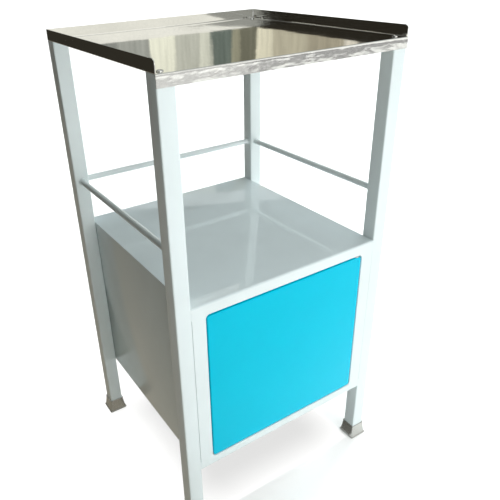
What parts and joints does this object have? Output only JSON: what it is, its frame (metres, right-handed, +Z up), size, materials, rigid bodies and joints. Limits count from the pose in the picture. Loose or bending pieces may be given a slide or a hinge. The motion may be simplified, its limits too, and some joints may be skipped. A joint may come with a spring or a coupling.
{
  "type": "bedside cabinet",
  "caption": "Hospital bedside cabinet: square-tube frame, sheet-steel cupboard with a hinged door, open bay with guard rods, stainless tray top.",
  "frame": {"origin": "middle of the floor area, on the ground between the four shoes", "axes": "+Z up, +X to the viewer's right as one faces the door, the door faces -Y"},
  "size_m": [0.4218, 0.3938, 0.8],
  "materials": {
    "stainless": "polished",
    "stainless_screws": "polished",
    "white_powder_coat": "gloss",
    "panel_powder_coat": "gloss",
    "cyan_powder_coat": "gloss",
    "shoe_grey": "satin",
    "zinc_steel": "zinc plated",
    "catch_plastic": "moulded",
    "magnet_black": "sintered ferrite",
    "bush_nylon": "moulded"
  },
  "bodies": {
    "cabinet": {"top_tray": "stainless", "tray_screws": "stainless_screws", "leg_caps": "white_powder_coat", "leg_front_left": "white_powder_coat", "leg_front_right": "white_powder_coat", "leg_back_left": "white_powder_coat", "leg_back_right": "white_powder_coat", "shoe_front_left": "shoe_grey", "shoe_front_right": "shoe_grey", "shoe_back_left": "shoe_grey", "shoe_back_right": "shoe_grey", "rod_left": "white_powder_coat", "rod_right": "white_powder_coat", "rod_back": "white_powder_coat", "deck_panel": "panel_powder_coat", "side_panel_left": "panel_powder_coat", "side_panel_right": "panel_powder_coat", "back_panel": "panel_powder_coat", "base_panel": "panel_powder_coat", "front_frame": "white_powder_coat", "hinge_pin_upper": "zinc_steel", "hinge_pin_lower": "zinc_steel", "catch_housing": "catch_plastic", "catch_magnet": "magnet_black", "catch_poles": "zinc_steel", "catch_studs": "zinc_steel", "catch_nuts": "zinc_steel"},
    "door": {"door_pan": "cyan_powder_coat", "door_liner": "cyan_powder_coat", "door_stiffener": "zinc_steel", "pivot_plate_upper": "zinc_steel", "pivot_plate_lower": "zinc_steel", "pivot_bush_upper": "bush_nylon", "pivot_bush_lower": "bush_nylon", "striker_plate": "zinc_steel", "striker_rivets": "zinc_steel"}
  },
  "joints": [
    {"name": "door_hinge", "type": "hinge", "parent": "cabinet", "child": "door", "pos_m": [0.146, -0.186, 0.2965], "axis": [0, 0, 1], "range_deg": [0, 110]}
  ]
}
